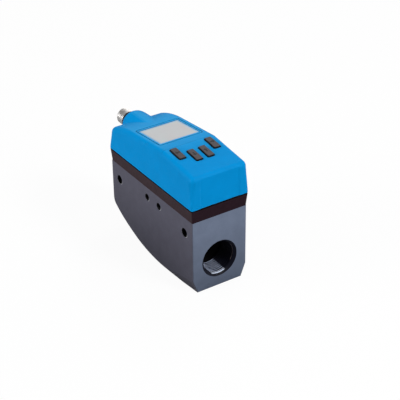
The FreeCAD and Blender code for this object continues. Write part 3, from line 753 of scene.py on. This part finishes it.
def key_top(key):
    """The middle of a key cap's top, from its box and its mesh."""
    low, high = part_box(key)
    centre = (low + high) / 2
    reach = max(vertex.co.dot(key_up) for vertex in nodes[key].data.vertices)
    return Vector((centre.x, centre.y, (reach - centre.x * key_up.x - centre.y * key_up.y) / key_up.z))


def key_mark(key, turn):
    """A raised arrow in the middle of a key cap."""
    sunk = key_top(key) - key_up * mark_sink * MM
    builder = bmesh.new()
    outline = [sunk + (key_along * point.x + key_across * point.y) * MM for point in arrow_outline(turn)]
    face = builder.faces.new([builder.verts.new(point) for point in outline])
    raised = bmesh.ops.extrude_face_region(builder, geom=[face])
    lifted = [part for part in raised["geom"] if isinstance(part, bmesh.types.BMVert)]
    bmesh.ops.translate(builder, verts=lifted, vec=key_up * (mark_height + mark_sink) * MM)
    bmesh.ops.recalc_face_normals(builder, faces=builder.faces)
    new_piece(key + "_mark", built_mesh(builder, key + "_mark"), key, "black_plastic")


# Stage

def face_direction(azimuth, elevation):
    """Unit vector from the part towards an azimuth and elevation; azimuth 0 is the -Y side."""
    turn = math.radians(azimuth)
    rise = math.radians(elevation)
    return Vector((math.sin(turn) * math.cos(rise), -math.cos(turn) * math.cos(rise), math.sin(rise)))


def ray_share(tree, shares):
    """A number for the kind of ray that meets the surface: its share for each named kind, else 0."""
    path = add_node(tree, "ShaderNodeLightPath").outputs
    return any_of(tree, [number(tree, "MULTIPLY", path[kind], share) for kind, share in shares.items()])


def mix_shaders(tree, share, first, second):
    """A shader from first to second, by a share from 0 to 1."""
    return add_node(tree, "ShaderNodeMixShader", {0: share, 1: first.outputs[0], 2: second.outputs[0]})


def make_floor():
    """A plain pale floor, lifted to white where the camera sees it."""
    mesh = bpy.data.meshes.new("floor")
    half = floor_size / 2 * MM
    corners = [(-half, -half, 0), (half, -half, 0), (half, half, 0), (-half, half, 0)]
    mesh.from_pydata(corners, [], [(0, 1, 2, 3)])
    floor = bpy.data.objects.new("floor", mesh)
    bpy.context.scene.collection.objects.link(floor)
    made = bpy.data.materials.new("pale_floor")
    made.use_nodes = True
    tree = made.node_tree
    tree.nodes.clear()
    seen = ray_share(tree, {"Is Camera Ray": 1.0})
    tone = mix_colours(tree, seen, (floor_grey,) * 3, (floor_grey_seen,) * 3)
    matte = add_node(tree, "ShaderNodeBsdfDiffuse", {"Color": tone})
    glow = add_node(tree, "ShaderNodeEmission", {"Color": WHITE, "Strength": 1.0})
    share = ray_share(tree, {"Is Camera Ray": floor_glow_seen, "Is Glossy Ray": floor_glow_mirrored,
                             "Is Transmission Ray": floor_glow_seen})
    add_node(tree, "ShaderNodeOutputMaterial", {"Surface": mix_shaders(tree, share, matte, glow).outputs[0]})
    mesh.materials.append(made)


def make_world():
    """White for the camera and glass, brighter on the far side for mirrors, and a plain fill light."""
    world = bpy.data.worlds.new("studio")
    bpy.context.scene.world = world
    world.use_nodes = True
    tree = world.node_tree
    tree.nodes.clear()
    ray = add_node(tree, "ShaderNodeTexCoord").outputs["Generated"]
    slant = measure(tree, "DOT_PRODUCT", ray, mirrored_slant)
    mirrored = ramp(tree, slant, *mirrored_span, mirrored_dim, mirrored_bright)
    fill = add_node(tree, "ShaderNodeBackground", {"Color": WHITE, "Strength": world_share})
    walls = add_node(tree, "ShaderNodeBackground", {"Color": WHITE, "Strength": mirrored})
    seen = add_node(tree, "ShaderNodeBackground", {"Color": WHITE, "Strength": backdrop_seen})
    lit = mix_shaders(tree, ray_share(tree, {"Is Glossy Ray": 1.0}), fill, walls)
    share = ray_share(tree, {"Is Camera Ray": 1.0, "Is Transmission Ray": 1.0})
    add_node(tree, "ShaderNodeOutputWorld", {"Surface": mix_shaders(tree, share, lit, seen).outputs[0]})


def make_lamp(name, lamp):
    """A square soft box aimed at the part, with the power that gives its share of white at its distance."""
    direction = face_direction(lamp["azimuth"], lamp["elevation"])
    light = bpy.data.lights.new(name, "AREA")
    light.shape = "SQUARE"
    light.size = lamp["size"] * MM
    light.energy = lamp["share"] * (math.pi * lamp_distance * MM) ** 2
    shown = bpy.data.objects.new(name, light)
    shown.location = (Vector(camera_target) + direction * lamp_distance) * MM
    shown.rotation_euler = direction.to_track_quat("Z", "Y").to_euler()
    bpy.context.scene.collection.objects.link(shown)


def make_camera():
    """The photograph's camera."""
    back = face_direction(camera_azimuth, camera_elevation)
    level = Vector((math.cos(math.radians(camera_azimuth)), math.sin(math.radians(camera_azimuth)), 0.0))
    upright = back.cross(level)
    roll = math.radians(camera_roll)
    right = level * math.cos(roll) + upright * math.sin(roll)
    up = upright * math.cos(roll) - level * math.sin(roll)
    lens = bpy.data.cameras.new("camera")
    lens.sensor_width = sensor_width
    lens.lens = focal_pixels / photo_pixels * sensor_width
    camera = bpy.data.objects.new("camera", lens)
    turn = Matrix((right, up, back)).transposed().to_4x4()
    camera.matrix_world = Matrix.Translation((Vector(camera_target) + back * camera_distance) * MM) @ turn
    bpy.context.scene.collection.objects.link(camera)
    bpy.context.scene.camera = camera


# The finishes, by the slots of the record, and those of the added threads
thread_finish = machined_thread()
lead_finish = lead_in_highlight()
edge_finish = hole_shade_black()
finishes = {
    "anodised_grey": anodised_aluminium(),
    "blue_plastic": blue_plastic(),
    "dark_plastic": dark_plastic(),
    "black_plastic": black_plastic(),
    "black_rubber": black_rubber(),
    "key_plastic": key_plastic(),
    "window_glass": window_glass(),
    "lcd_grey": lcd_grey(),
    "board_green": board_green(),
    "brass": brass(),
    "steel": steel(),
    "nickel": nickel(),
}
for subpart in frame["record"]["subparts"]:
    slots = nodes[subpart["node"]].data.materials
    slots.clear()
    slots.append(finishes[subpart["material_slot"]])

# The added pieces
port_threads()
tapped_threads()
plug_shell()
for key, turn in key_arrows.items():
    key_mark(key, turn)

# The stage
make_floor()
make_world()
for name, lamp in lamps.items():
    make_lamp(name, lamp)
make_camera()
bpy.context.scene.view_settings.view_transform = "Standard"
